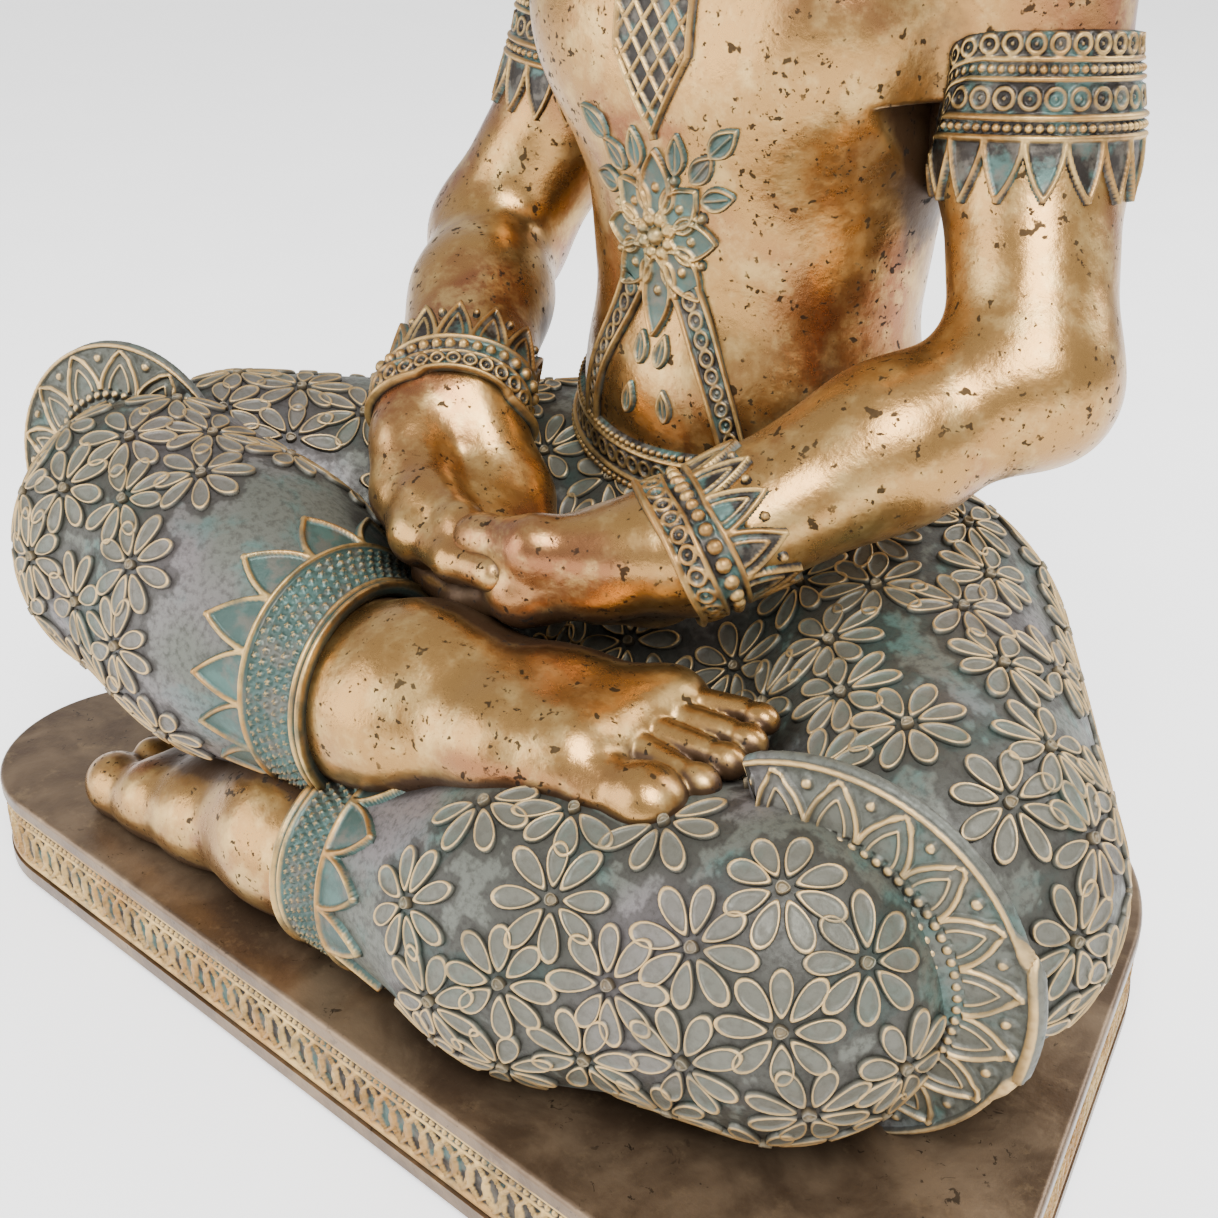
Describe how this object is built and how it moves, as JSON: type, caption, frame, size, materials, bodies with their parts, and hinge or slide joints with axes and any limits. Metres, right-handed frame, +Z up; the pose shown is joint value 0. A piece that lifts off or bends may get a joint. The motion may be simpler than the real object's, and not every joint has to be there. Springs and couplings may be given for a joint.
{
  "type": "buddha statue",
  "caption": "Seated buddha statue in half lotus with hands in the lap, patterned trousers, collar, arm and ankle ornaments, on a low rounded plinth.",
  "frame": {"origin": "centre of the footprint, on the surface that the foot pads stand on", "axes": "+Z up, -Y the way the figure faces, +X towards the figure's own left hand"},
  "size_m": [0.296, 0.19, 0.412],
  "materials": {
    "bronze_skin": "cold-cast resin, antique bronze gilding rubbed over dark brown, satin",
    "verdigris_cloth": "cold-cast resin, dark grey-green patina with gilt rubbed on the relief, satin",
    "ornament_gilt": "cold-cast resin, dark patina in the recesses and gilt on the beads and rims, satin",
    "plinth_bronze": "cold-cast resin, smooth dark brown bronze, semi-gloss",
    "base_board": "dark stained hardboard, matt",
    "pad_felt": "black soft rubber, matt",
    "fixing_steel": "zinc-plated steel, satin",
    "insert_brass": "turned brass, satin"
  },
  "bodies": {
    "root": {"torso": "bronze_skin", "left_arm": "bronze_skin", "right_arm": "bronze_skin", "left_hand": "bronze_skin", "right_hand": "bronze_skin", "left_foot": "bronze_skin", "right_foot": "bronze_skin", "head": "bronze_skin", "lap": "verdigris_cloth", "left_lower_leg": "verdigris_cloth", "right_lower_leg": "verdigris_cloth", "left_knee_flounce": "verdigris_cloth", "right_knee_flounce": "verdigris_cloth", "hair_cap": "verdigris_cloth", "ushnisha": "verdigris_cloth", "belt": "ornament_gilt", "left_sash": "ornament_gilt", "right_sash": "ornament_gilt", "chest_rosette": "ornament_gilt", "collar": "ornament_gilt", "left_armlet": "ornament_gilt", "right_armlet": "ornament_gilt", "left_bracelet": "ornament_gilt", "right_bracelet": "ornament_gilt", "left_cuff": "ornament_gilt", "right_cuff": "ornament_gilt", "diadem": "ornament_gilt", "finial": "ornament_gilt", "plinth": "plinth_bronze", "plinth_frieze": "plinth_bronze", "base_plate": "base_board", "foot_pads": "pad_felt", "base_screws": "fixing_steel", "figure_bolts": "fixing_steel", "figure_washers": "fixing_steel", "waist_dowel": "fixing_steel", "shoulder_dowels": "fixing_steel", "wrist_dowels": "fixing_steel", "ankle_dowels": "fixing_steel", "neck_dowel": "fixing_steel", "threaded_inserts": "insert_brass"}
  },
  "joints": []
}
